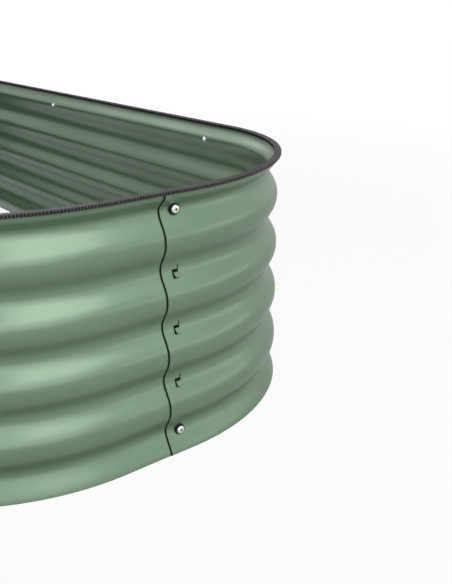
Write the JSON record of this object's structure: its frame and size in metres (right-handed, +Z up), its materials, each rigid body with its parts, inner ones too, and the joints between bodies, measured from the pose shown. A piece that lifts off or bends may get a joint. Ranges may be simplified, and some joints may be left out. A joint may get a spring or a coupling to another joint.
{
  "type": "raised garden bed",
  "caption": "Long oval ring of ribbed sheet-metal panels, open at top and bottom, bolted together as a raised planter for soil, with a rubber edging on the rim.",
  "frame": {"origin": "centre of the bed's footprint, on the ground", "axes": "+X along the bed's length towards the end that the picture shows, +Y across it towards the far long wall, +Z up"},
  "size_m": [2.2808, 0.9128, 0.432],
  "materials": {
    "painted_sheet": "satin sage green paint on steel sheet",
    "rim_rubber": "matt black, finely ribbed",
    "washer_rubber": "matt black",
    "zinc_steel": "bright zinc plated"
  },
  "bodies": {
    "root": {"corner_panel_back_right": "painted_sheet", "side_panel_back_right": "painted_sheet", "side_panel_back_left": "painted_sheet", "corner_panel_back_left": "painted_sheet", "corner_panel_front_left": "painted_sheet", "side_panel_front_left": "painted_sheet", "side_panel_front_right": "painted_sheet", "corner_panel_front_right": "painted_sheet", "rim_edging": "rim_rubber", "bolts_right_end": "zinc_steel", "bolts_back_right": "zinc_steel", "bolts_back_middle": "zinc_steel", "bolts_back_left": "zinc_steel", "bolts_left_end": "zinc_steel", "bolts_front_left": "zinc_steel", "bolts_front_middle": "zinc_steel", "bolts_front_right": "zinc_steel", "washers_right_end": "washer_rubber", "washers_back_right": "washer_rubber", "washers_back_middle": "washer_rubber", "washers_back_left": "washer_rubber", "washers_left_end": "washer_rubber", "washers_front_left": "washer_rubber", "washers_front_middle": "washer_rubber", "washers_front_right": "washer_rubber", "nuts_right_end": "zinc_steel", "nuts_back_right": "zinc_steel", "nuts_back_middle": "zinc_steel", "nuts_back_left": "zinc_steel", "nuts_left_end": "zinc_steel", "nuts_front_left": "zinc_steel", "nuts_front_middle": "zinc_steel", "nuts_front_right": "zinc_steel"}
  },
  "joints": []
}
